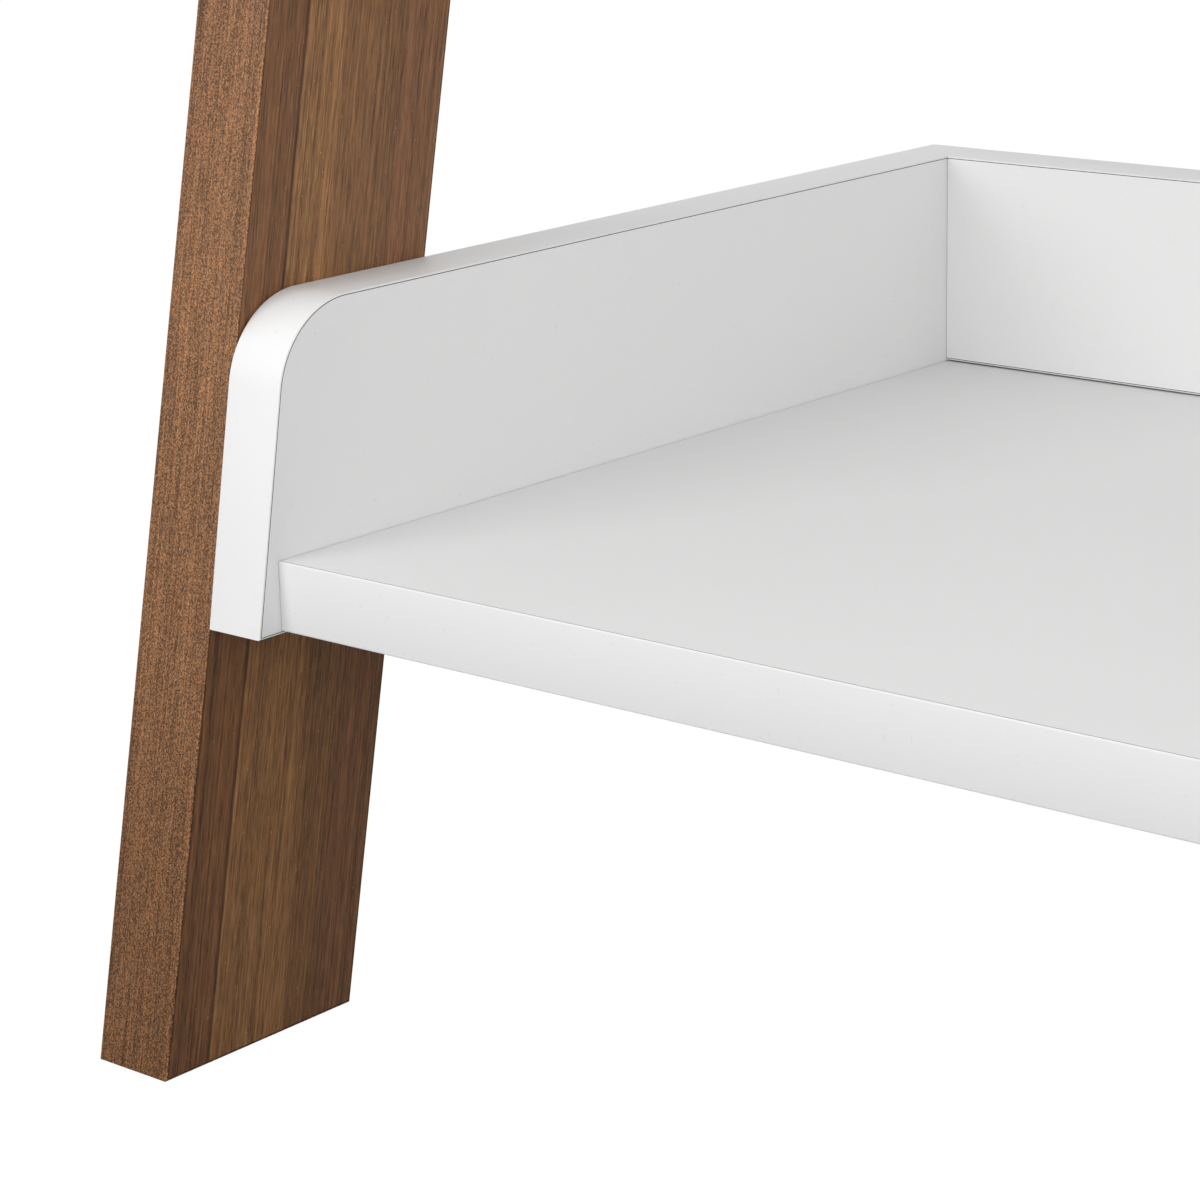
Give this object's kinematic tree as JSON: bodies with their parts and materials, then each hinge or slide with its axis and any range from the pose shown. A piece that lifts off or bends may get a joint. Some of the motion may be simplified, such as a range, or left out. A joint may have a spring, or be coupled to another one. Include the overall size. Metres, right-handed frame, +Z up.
{
  "type": "ladder shelf",
  "caption": "Leaning ladder shelf: two raked walnut-look legs carry open white trays that get shallower towards the top, with brackets that tie the legs to a wall.",
  "frame": {"origin": "on the floor, midway between the legs and midway between the legs' toes and the wall", "axes": "+Z up; +Y towards the wall; +X to the right of someone facing the shelf"},
  "size_m": [0.625, 0.34, 1.45],
  "materials": {
    "walnut": "walnut-look laminate, satin",
    "white_laminate": "white melamine on particle board, fine matt texture, edge-banded",
    "bronzed_steel": "dark bronze plating, satin",
    "zinc": "zinc plated",
    "bracket_paint": "white powder coat",
    "nylon": "moulded nylon, matt"
  },
  "bodies": {
    "root": {"left_leg": "walnut", "foot_glide_left_front": "nylon", "foot_glide_left_rear": "nylon", "wall_bracket_left": "bracket_paint", "bracket_screw_left_low": "zinc", "bracket_screw_left_high": "zinc", "right_leg": "walnut", "foot_glide_right_front": "nylon", "foot_glide_right_rear": "nylon", "wall_bracket_right": "bracket_paint", "bracket_screw_right_low": "zinc", "bracket_screw_right_high": "zinc", "tray_1_shelf": "white_laminate", "tray_1_back": "white_laminate", "tray_1_left_side": "white_laminate", "leg_bolt_1_left_low": "bronzed_steel", "insert_1_left_low": "zinc", "leg_bolt_1_left_high": "bronzed_steel", "insert_1_left_high": "zinc", "tray_1_right_side": "white_laminate", "leg_bolt_1_right_low": "bronzed_steel", "insert_1_right_low": "zinc", "leg_bolt_1_right_high": "bronzed_steel", "insert_1_right_high": "zinc", "tray_2_shelf": "white_laminate", "tray_2_back": "white_laminate", "tray_2_left_side": "white_laminate", "leg_bolt_2_left_low": "bronzed_steel", "insert_2_left_low": "zinc", "leg_bolt_2_left_high": "bronzed_steel", "insert_2_left_high": "zinc", "tray_2_right_side": "white_laminate", "leg_bolt_2_right_low": "bronzed_steel", "insert_2_right_low": "zinc", "leg_bolt_2_right_high": "bronzed_steel", "insert_2_right_high": "zinc", "tray_3_shelf": "white_laminate", "tray_3_back": "white_laminate", "tray_3_left_side": "white_laminate", "leg_bolt_3_left_low": "bronzed_steel", "insert_3_left_low": "zinc", "leg_bolt_3_left_high": "bronzed_steel", "insert_3_left_high": "zinc", "tray_3_right_side": "white_laminate", "leg_bolt_3_right_low": "bronzed_steel", "insert_3_right_low": "zinc", "leg_bolt_3_right_high": "bronzed_steel", "insert_3_right_high": "zinc", "tray_4_shelf": "white_laminate", "tray_4_back": "white_laminate", "tray_4_left_side": "white_laminate", "leg_bolt_4_left_low": "bronzed_steel", "insert_4_left_low": "zinc", "leg_bolt_4_left_high": "bronzed_steel", "insert_4_left_high": "zinc", "tray_4_right_side": "white_laminate", "leg_bolt_4_right_low": "bronzed_steel", "insert_4_right_low": "zinc", "leg_bolt_4_right_high": "bronzed_steel", "insert_4_right_high": "zinc"}
  },
  "joints": []
}
